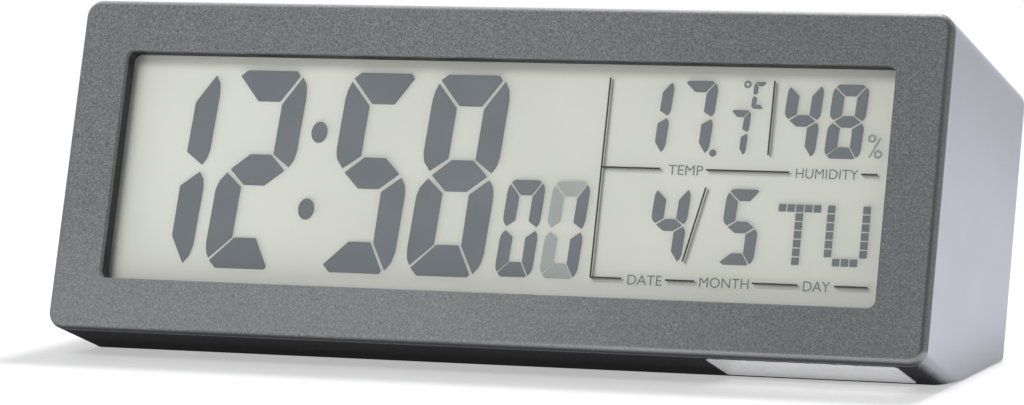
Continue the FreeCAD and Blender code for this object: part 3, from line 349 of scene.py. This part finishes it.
def reflector_film():
    """The display's pale grey green ground, with painted light making it paler towards its left and its
    foot, where the recess shades it.
    """
    dull, light, pale = (0.508, 0.515, 0.470), (0.540, 0.543, 0.505), (0.86, 0.87, 0.82)
    look = Finish("reflector_film")
    clouds = look.noise(22.0, 2.0)
    fine = look.noise(0.12, 2.0)
    # Painted light against the recess's shade: paler towards the left edge and the foot.
    left = look.spread(look.along(across_case), -0.08, -0.01, 0.22, 0.0)
    foot = look.spread(look.along(up_the_face, stand_rise), 0.0100, 0.0145, 0.40, 0.0)
    ground = look.ramp(clouds, [(0.3, dull), (0.7, light)])
    return look.surface(
        look.mix(look.maths("MAXIMUM", left, foot), ground, pale),
        roughness=look.spread(fine, 0.3, 0.7, 0.5, 0.62),
        normal=look.bump(fine, 0.003),
    )


def crystal_strokes(name, colour):
    """The switched areas of the liquid crystal."""
    look = Finish(name)
    clouds = look.noise(9.0, 2.0)
    fine = look.noise(0.15, 2.0)
    tone = look.ramp(look.sum(look.product(clouds, 0.8), look.product(fine, 0.2)), shades(colour, 0.07))
    return look.surface(tone, roughness=look.spread(fine, 0.3, 0.7, 0.5, 0.6), gloss=0.2)


def circuit_board():
    """Green solder mask over copper runs, with pale solder pads."""
    mask, covered_copper, solder = (0.012, 0.085, 0.035), (0.030, 0.175, 0.070), (0.50, 0.48, 0.42)
    run_pitch = 2.6
    look = Finish("circuit_board")
    values = {"Vector": look.place, "Scale": 1 / (run_pitch * MM)}
    square = look.add("ShaderNodeTexVoronoi", values, feature="DISTANCE_TO_EDGE").outputs["Distance"]
    runs = look.spread(square, 0.04, 0.07, 1.0, 0.0)
    pads = look.spread(look.cells(3.4), 0.13, 0.17, 1.0, 0.0)
    fine = look.noise(0.3, 2.0)
    tone = look.mix(pads, look.mix(runs, mask, covered_copper), solder)
    return look.surface(
        tone,
        roughness=look.spread(fine, 0.3, 0.7, 0.28, 0.38),
        normal=look.bump(look.sum(runs, pads), 0.03),
    )


def cell_jacket():
    """A dry cell's plain sleeve with a pale band at each end and bare metal end faces."""
    sleeve, pale_band, metal = (0.060, 0.085, 0.110), (0.52, 0.54, 0.56), (0.62, 0.61, 0.58)
    look = Finish("cell_jacket")
    end = look.maths("ABSOLUTE", look.turned(across_case), 0.0)
    bare = look.spread(end, 0.25, 0.45)
    fine = look.noise(0.4, 2.0)
    band = look.spread(look.maths("ABSOLUTE", look.along(across_case), 0.0), 0.0175, 0.0178)
    tone = look.mix(bare, look.mix(band, sleeve, pale_band), metal)
    return look.surface(
        tone,
        metallic=bare,
        roughness=look.spread(fine, 0.3, 0.7, 0.26, 0.36),
        normal=look.bump(fine, 0.01),
    )


def striped(name, first, second, pitch, roughness, relief):
    """Fine stripes of two colours, side by side across the case."""
    look = Finish(name)
    wave = look.maths("SINE", look.product(look.along(across_case), 2 * math.pi / (pitch * MM)), 0.0)
    fine = look.noise(0.2, 2.0)
    tone = look.mix(look.spread(wave, -0.4, 0.4), first, second)
    return look.surface(
        tone,
        roughness=look.spread(fine, 0.3, 0.7, roughness - 0.05, roughness + 0.05),
        normal=look.bump(wave, relief),
    )


def foam():
    """Black open foam."""
    pore, skin = (0.008, 0.008, 0.008), (0.035, 0.035, 0.037)
    look = Finish("foam")
    pores = look.cells(0.6)
    tone = look.ramp(pores, [(0.1, pore), (0.6, skin)])
    return look.surface(tone, roughness=0.95, normal=look.bump(pores, 0.3))


def buzzer_metal():
    """Brass with a pale ceramic middle."""
    brass, ceramic = (0.62, 0.43, 0.17), (0.72, 0.70, 0.64)
    look = Finish("buzzer_brass")
    low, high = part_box("alarm_buzzer")
    middle = (Vector(low) + Vector(high)) / 2
    away = look.add("ShaderNodeVectorMath", operation="DISTANCE")
    look.feed(away.inputs[0], look.place)
    away.inputs[1].default_value = middle
    inner = look.spread(away.outputs["Value"], 0.0063, 0.0065, 1.0, 0.0)
    marks = look.noise(0.15, 3.0, 0.6)
    return look.surface(
        look.mix(inner, brass, ceramic),
        metallic=look.spread(inner, 0.0, 1.0, 1.0, 0.0),
        roughness=look.spread(marks, 0.3, 0.7, 0.25, 0.4),
        normal=look.bump(marks, 0.004),
    )


def label_foil():
    """A blank label of brushed silver foil."""
    dull, bright = (0.80, 0.80, 0.81), (0.93, 0.93, 0.94)
    look = Finish("label_foil")
    brushed = look.noise(0.18, 4.0, 0.65, look.stretched(14.0, 1.0, 1.0))
    haze = look.noise(6.0, 2.0)
    shine = look.sum(look.product(brushed, 0.6), look.product(haze, 0.4))
    return look.surface(
        look.ramp(shine, [(0.35, dull), (0.62, bright)]),
        metallic=0.85,
        roughness=look.spread(brushed, 0.3, 0.7, 0.24, 0.36),
        normal=look.bump(brushed, 0.006),
    )


def ink(name, colour):
    """Matt printing ink, also used for the print's painted shadows on the reflector."""
    look = Finish(name)
    fine = look.noise(0.2, 2.0)
    tone = look.ramp(fine, shades(colour, 0.15))
    return look.surface(tone, roughness=look.spread(fine, 0.3, 0.7, 0.55, 0.7), gloss=0.2)


key_plastic = moulded("key_plastic", (0.052, 0.052, 0.056), 0.5, 0.25, 0.012)
switch_plastic = moulded("switch_plastic", (0.016, 0.016, 0.017), 0.42, 0.3, 0.01)
circuit = circuit_board()
contact_metal = plated("contact_metal", (0.66, 0.65, 0.61), 0.26, (1, 6, 1))
screw_steel = plated("screw_steel", (0.52, 0.52, 0.50), 0.32)
display_glass = clear_sheet("display_glass", (0.998, 1.0, 0.996), 0.02, 0.004)
ribbon = striped("cable_grey", (0.30, 0.30, 0.31), (0.44, 0.44, 0.45), 1.27, 0.45, 0.12)
small_parts = moulded("small_parts", (0.22, 0.145, 0.085), 0.4, 0.4, 0.01, 0.2)
finishes = {
    "front_frame": frame_paint(),
    "rear_housing": housing_paint("housing_paint", fades_with_painted_shade=True),
    "battery_door": housing_paint("door_paint", fades_with_painted_shade=False),
    "display_surround": moulded("black_plastic", (0.0085, 0.0085, 0.009), 0.6, 0.25, 0.012, 0.2, 0.3),
    "display_window": clear_sheet("clear_window", (0.998, 1.0, 0.997), 0.05, 0.014),
    "display_front_glass": display_glass,
    "display_rear_glass": display_glass,
    "display_segments": crystal_strokes("dark_segments", (0.108, 0.121, 0.134)),
    "display_faint_segments": crystal_strokes("faint_segments", (0.262, 0.289, 0.280)),
    "display_reflector": reflector_film(),
    "display_contact_strips": striped(
        "strip_rubber", (0.02, 0.02, 0.02), (0.42, 0.24, 0.26), 0.9, 0.6, 0.02
    ),
    "display_pad": foam(),
    "main_board": circuit,
    "key_board": circuit,
    "sensor_board": circuit,
    "board_screws": screw_steel,
    "case_screws": screw_steel,
    "key_board_screws": screw_steel,
    "sensor_screws": screw_steel,
    "clock_chip": moulded("chip_resin", (0.010, 0.010, 0.011), 0.18, 1.5, 0.05),
    "temperature_sensor": moulded("bead_resin", (0.012, 0.012, 0.013), 0.3, 0.8, 0.03),
    "timing_crystal": contact_metal,
    "positive_contact": contact_metal,
    "negative_contact": contact_metal,
    "bridge_contact": contact_metal,
    "board_small_parts": small_parts,
    "board_plugs": moulded("plug_plastic", (0.66, 0.64, 0.58), 0.4, 0.5, 0.01, 0.05),
    "key_ribbon": ribbon,
    "sensor_ribbon": ribbon,
    "positive_lead": moulded("lead_red", (0.46, 0.018, 0.016), 0.35, 0.5, 0.01),
    "negative_lead": moulded("lead_black", (0.014, 0.014, 0.014), 0.35, 0.5, 0.01),
    "snooze_bar": key_plastic,
    "mode_key": key_plastic,
    "set_key": key_plastic,
    "up_key": key_plastic,
    "down_key": key_plastic,
    "alarm_switch_slider": key_plastic,
    "alarm_switch_body": switch_plastic,
    "key_switches": switch_plastic,
    "snooze_switches": switch_plastic,
    "upper_cell": cell_jacket(),
    "humidity_sensor": moulded("sensor_white", (0.66, 0.66, 0.65), 0.35, 0.5, 0.01, 0.05),
    "alarm_buzzer": buzzer_metal(),
    "base_feet": moulded("foot_rubber", (0.022, 0.022, 0.022), 0.75, 0.35, 0.03, 0.2),
    "rating_label": label_foil(),
}
finishes["lower_cell"] = finishes["upper_cell"]

for name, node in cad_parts.items():
    for material_slot in node.material_slots:
        material_slot.material = finishes[name]
    if not node.material_slots:
        node.data.materials.append(finishes[name])


# The window and both glasses lie face to face with their neighbours. A hair's breadth is
# taken off each, so that every layer shows for itself. Being clear, they throw no shadow.
# The strokes throw none either, or they would show twice on the reflector.
for name in ("display_window", "display_front_glass", "display_rear_glass"):
    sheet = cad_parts[name]
    skim = sheet.modifiers.new("skim", "DISPLACE")
    skim.mid_level = 0.0
    skim.strength = -sheet_skim * MM
    sheet.visible_shadow = False
    sheet.visible_diffuse = False
for name in ("display_segments", "display_faint_segments"):
    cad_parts[name].visible_shadow = False


# Fixed print and small moulded marks


def strip(mesh, start, end, width, front, back):
    """A straight flat strip from start to end, lying between two depths."""
    start, end = Vector(start), Vector(end)
    along, middle = end - start, (start + end) / 2
    place = Matrix.Translation((middle.x, (front + back) / 2, middle.y))
    turn = Matrix.Rotation(-math.atan2(along.y, along.x), 4, "Y")
    size = Matrix.Diagonal((along.length, back - front, width, 1))
    bmesh.ops.create_cube(mesh, size=1.0, matrix=place @ turn @ size)


def ring(mesh, across, up, outer, inner, front, back):
    """A flat ring between two depths."""
    outline = [(inner, front), (outer, front), (outer, back), (inner, back)]
    corners = [mesh.verts.new((across + radius, depth, up)) for radius, depth in outline]
    sides = [mesh.edges.new((corners[index - 1], corners[index])) for index in range(4)]
    bmesh.ops.spin(
        mesh, geom=corners + sides, cent=(across, 0, up), axis=(0, 1, 0), angle=2 * math.pi,
        steps=32, use_merge=True,
    )


def word(mesh, text, start, end, low, high, front, back):
    """A word that reads from start to end between two heights, lying between two depths."""
    curve = bpy.data.curves.new(text, "FONT")
    curve.body = text
    curve.extrude = 0.5
    holder = bpy.data.objects.new(text, curve)
    flat = bpy.data.meshes.new_from_object(holder)
    left, right = min(v.co.x for v in flat.vertices), max(v.co.x for v in flat.vertices)
    foot, head = min(v.co.y for v in flat.vertices), max(v.co.y for v in flat.vertices)
    for vertex in flat.vertices:
        x, y, z = vertex.co
        vertex.co = (
            start + (end - start) * (x - left) / (right - left),
            (front + back) / 2 - (back - front) * z,
            low + (high - low) * (y - foot) / (head - foot),
        )
    mesh.from_mesh(flat)
    bpy.data.meshes.remove(flat)
    bpy.data.objects.remove(holder)
    bpy.data.curves.remove(curve)


def moulded_bars(bars, edge):
    """Small bars with rounded edges; each has its middle and its reach along x, y and z."""
    mesh = bmesh.new()
    for middle, reach in bars:
        place = Matrix.Translation(middle) @ Matrix.Diagonal((*reach, 1))
        bmesh.ops.create_cube(mesh, size=1.0, matrix=place)
    bmesh.ops.bevel(
        mesh, geom=mesh.edges[:], offset=edge, offset_type="OFFSET", segments=2, profile=0.5,
        affect="EDGES", material=-1,
    )
    return mesh


def finished_piece(name, mesh, finish, body="case"):
    """Close a mesh that was made in the case's frame as a piece that rides on a body."""
    bmesh.ops.remove_doubles(mesh, verts=mesh.verts, dist=0.0005)
    bmesh.ops.transform(mesh, matrix=stand, verts=mesh.verts)
    bmesh.ops.recalc_face_normals(mesh, faces=mesh.faces)
    data = bpy.data.meshes.new(name)
    mesh.to_mesh(data)
    mesh.free()
    data.materials.append(finish)
    piece = bpy.data.objects.new(name, data)
    bpy.context.scene.collection.objects.link(piece)
    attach(piece, body)
    return piece


# Lines of the display, each from one end to the other
line_width = 0.36
divider_left = 21.4
divider_top = 54.8
divider_foot = 15.25
divider_middle = 37.0
climate_divider = 54.55
line_right = 76.45
rules = [
    ((divider_left, divider_foot), (divider_left, divider_top)),
    ((climate_divider, 40.25), (climate_divider, divider_top)),
    ((39.6, 18.9), (42.85, 33.55)),
    ((divider_left, divider_middle), (33.35, divider_middle)),
    ((42.55, divider_middle), (59.05, divider_middle)),
    ((73.2, divider_middle), (line_right, divider_middle)),
    ((divider_left, divider_foot), (27.7, divider_foot)),
    ((36.5, divider_foot), (42.4, divider_foot)),
    ((53.8, divider_foot), (62.8, divider_foot)),
    ((69.9, divider_foot), (line_right, divider_foot)),
]
# Captions, each with its two ends and its foot
caption_height = 1.95
caption_drop = 1.15
captions = [
    ("TEMP", 34.95, 41.95, divider_middle - caption_drop),
    ("HUMIDITY", 60.4, 72.65, divider_middle - caption_drop),
    ("DATE", 28.95, 35.85, divider_foot - caption_drop),
    ("MONTH", 43.4, 53.2, divider_foot - caption_drop),
    ("DAY", 63.9, 69.15, divider_foot - caption_drop),
]


def display_rules(depth):
    mesh = bmesh.new()
    for start, end in rules:
        strip(mesh, start, end, line_width, depth, depth + ink_thickness)
    return mesh


def display_captions(depth):
    mesh = bmesh.new()
    back = depth + ink_thickness
    for text, start, end, foot in captions:
        word(mesh, text, start, end, foot, foot + caption_height, depth, back)
    return mesh


# The percent sign: the middles of its two rings, and the two ends of its slanting stroke
percent_rings = [(74.55, 44.15), (75.95, 41.10)]
percent_ring_outer = 0.84
percent_ring_inner = 0.40
percent_stroke = ((74.25, 40.4), (76.2, 44.3))


def percent_sign():
    mesh = bmesh.new()
    back = percent_depth + ink_thickness
    for across, up in percent_rings:
        ring(mesh, across, up, percent_ring_outer, percent_ring_inner, percent_depth, back)
    strip(mesh, *percent_stroke, line_width, percent_depth, back)
    return mesh


rule_ink = ink("rule_ink", (0.020, 0.018, 0.013))
rule_shadow_ink = ink("rule_shadow_ink", (0.235, 0.240, 0.200))
caption_ink = ink("caption_ink", (0.130, 0.138, 0.130))
caption_shadow_ink = ink("caption_shadow_ink", (0.50, 0.52, 0.46))
finished_piece("display_rules", display_rules(print_depth), rule_ink)
# The rules and captions drawn again on the reflector in paler ink are their painted shadows.
finished_piece("display_rule_shadows", display_rules(painted_shadow_depth), rule_shadow_ink)
words = finished_piece("display_captions", display_captions(print_depth), caption_ink)
words.visible_shadow = False
finished_piece(
    "display_caption_shadows", display_captions(painted_shadow_depth), caption_shadow_ink
)
sign_strokes = crystal_strokes("sign_strokes", (0.215, 0.230, 0.225))
sign = finished_piece("percent_sign", percent_sign(), sign_strokes)
sign.visible_shadow = False

# Legends on the back, each with its two ends and its foot. From behind, x runs from right to
# left, so a word starts at the larger x. The ink is sunk into the surface by half.
legend_height = 1.4
legend_sink = 0.02
legends = [
    ("MODE", 50.4, 45.0, 44.5),
    ("SET", 65.4, 62.0, 44.5),
    ("DOWN", 50.5, 44.9, 34.5),
    ("UP", 64.9, 62.5, 34.5),
    ("ON", 62.6, 60.2, 28.6),
    ("OFF", 51.4, 48.2, 28.6),
    ("ALARM", 58.8, 52.6, 24.4),
]


def back_legends():
    mesh = bmesh.new()
    front, back = case_depth - legend_sink, case_depth + legend_sink
    for text, start, end, foot in legends:
        word(mesh, text, start, end, foot, foot + legend_height, front, back)
    return mesh


legend_ink = ink("legend_ink", (0.060, 0.060, 0.066))
finished_piece("back_legends", back_legends(), legend_ink)

# Grip ridges under the battery door's finger scoop, and along the snooze bar. Each stands up
# by the ridge rise, and as much of it is sunk.
ridge_rise = 0.12
ridge_edge = 0.05
door_face = 60.4
door_ridge_heights = (48.6, 49.9, 51.2)
door_ridge_reach = (9.0, 2 * ridge_rise, 0.5)
snooze_top = 68.5
snooze_middle = 20.0
snooze_ridge_pitch = 1.8
snooze_ridge_steps = range(-6, 7)
snooze_ridge_reach = (0.6, 6.0, 2 * ridge_rise)
door_ridges = [((0, door_face, height), door_ridge_reach) for height in door_ridge_heights]
snooze_ridges = [
    ((snooze_ridge_pitch * step, snooze_middle, snooze_top), snooze_ridge_reach)
    for step in snooze_ridge_steps
]
finished_piece(
    "door_grip_ridges", moulded_bars(door_ridges, ridge_edge), finishes["battery_door"],
    "battery_door",
)
finished_piece(
    "snooze_grip_ridges", moulded_bars(snooze_ridges, ridge_edge), key_plastic,
    "snooze_bar",
)


# Floor, light and camera


# The floor glows by these shares where the camera and where reflections see it, and wholly
# beyond the far distance, so that it runs out into the white background.
floor_glow = 0.45
mirrored_glow = 0.30
floor_reach = 6.0
floor_near = 0.22
floor_far = 0.75
floor_tones = [(0.3, (0.86, 0.86, 0.86)), (0.7, (0.88, 0.88, 0.88))]


def floor():
    mesh = bmesh.new()
    bmesh.ops.create_grid(mesh, x_segments=8, y_segments=8, size=floor_reach)
    data = bpy.data.meshes.new("floor")
    mesh.to_mesh(data)
    mesh.free()
    look = Finish("floor_finish")
    away = look.add("ShaderNodeVectorMath", operation="LENGTH")
    look.feed(away.inputs[0], look.place)
    far = look.spread(away.outputs["Value"], floor_near, floor_far)
    fine = look.noise(1.5, 2.0)
    values = {"Base Color": look.ramp(fine, floor_tones), "Roughness": 0.6, "Specular IOR Level": 0.2}
    matt = look.add("ShaderNodeBsdfPrincipled", values)
    bright = look.add("ShaderNodeEmission", {"Color": (1, 1, 1, 1), "Strength": 1.0})
    path = look.add("ShaderNodeLightPath").outputs
    seen = look.product(path["Is Camera Ray"], floor_glow)
    mirrored = look.product(path["Is Glossy Ray"], mirrored_glow)
    near_share = look.maths("MAXIMUM", seen, mirrored)
    both = look.add("ShaderNodeMixShader")
    look.feed(both.inputs[0], look.maths("MAXIMUM", far, near_share))
    look.feed(both.inputs[1], matt.outputs["BSDF"])
    look.feed(both.inputs[2], bright.outputs["Emission"])
    data.materials.append(look.coat(both.outputs["Shader"]))
    plane = bpy.data.objects.new("floor", data)
    bpy.context.scene.collection.objects.link(plane)


def softbox(name, place, aim, size, power, mirrored=True):
    """A rectangular lamp in metres and watts; one that isn't mirrored leaves no bright spot."""
    light = bpy.data.lights.new(name, "AREA")
    light.shape = "RECTANGLE"
    light.size, light.size_y = size
    light.energy = power
    lamp = bpy.data.objects.new(name, light)
    lamp.location = place
    lamp.rotation_euler = (Vector(aim) - Vector(place)).to_track_quat("-Z", "Y").to_euler()
    lamp.visible_camera = False
    lamp.visible_glossy = mirrored
    bpy.context.scene.collection.objects.link(lamp)


fill_colour = (0.97, 0.98, 1.0, 1)
fill_strength = 0.25


def background():
    """White where it is seen, mirrored or seen through something, and a soft fill elsewhere."""
    world = bpy.data.worlds.new("studio")
    bpy.context.scene.world = world
    world.use_nodes = True
    nodes, links = world.node_tree.nodes, world.node_tree.links
    nodes.clear()
    path = nodes.new("ShaderNodeLightPath").outputs
    shown = path["Is Camera Ray"]
    for ray in ("Is Glossy Ray", "Is Transmission Ray"):
        either = nodes.new("ShaderNodeMath")
        either.operation = "MAXIMUM"
        links.new(shown, either.inputs[0])
        links.new(path[ray], either.inputs[1])
        shown = either.outputs[0]
    both = nodes.new("ShaderNodeMixShader")
    links.new(shown, both.inputs[0])
    for index, colour, strength in ((1, fill_colour, fill_strength), (2, (1, 1, 1, 1), 1.0)):
        glow = nodes.new("ShaderNodeBackground")
        glow.inputs["Color"].default_value = colour
        glow.inputs["Strength"].default_value = strength
        links.new(glow.outputs[0], both.inputs[index])
    out = nodes.new("ShaderNodeOutputWorld")
    links.new(both.outputs[0], out.inputs["Surface"])


def camera():
    azimuth, elevation, roll = map(math.radians, (camera_azimuth, camera_elevation, camera_roll))
    ahead = Vector((
        -math.sin(azimuth) * math.cos(elevation),
        math.cos(azimuth) * math.cos(elevation),
        math.sin(elevation),
    ))
    level = Vector((math.cos(azimuth), math.sin(azimuth), 0))
    upright = level.cross(ahead)
    right = level * math.cos(roll) + upright * math.sin(roll)
    up = right.cross(ahead)
    data = bpy.data.cameras.new("camera")
    data.lens = camera_lens
    data.sensor_width = 36.0
    data.clip_start = 0.05
    data.clip_end = 50.0
    holder = bpy.data.objects.new("camera", data)
    turn = Matrix((right, up, -ahead)).transposed().to_4x4()
    holder.matrix_world = Matrix.Translation(camera_place) @ turn
    bpy.context.scene.collection.objects.link(holder)
    bpy.context.scene.camera = holder


floor()
background()
middle = (0.0, 0.0, 0.03)
face = (0.0, -0.03, 0.03)
softbox("key_box", (0.08, 0.47, 1.17), middle, (0.16, 0.16), 17.5)
softbox("right_box", (1.10, -0.15, 0.14), middle, (0.5, 0.2), 1.9)
softbox("side_strip", (0.20, -0.01, 0.014), (0.0, -0.01, 0.014), (0.20, 0.016), 0.045, mirrored=False)
softbox("front_box", (-0.03, -0.53, 0.36), face, (0.26, 0.16), 1.72, mirrored=False)
softbox("low_box", (-0.14, -0.70, 0.08), face, (0.24, 0.14), 0.91)
camera()
bpy.context.scene.view_settings.view_transform = "Standard"
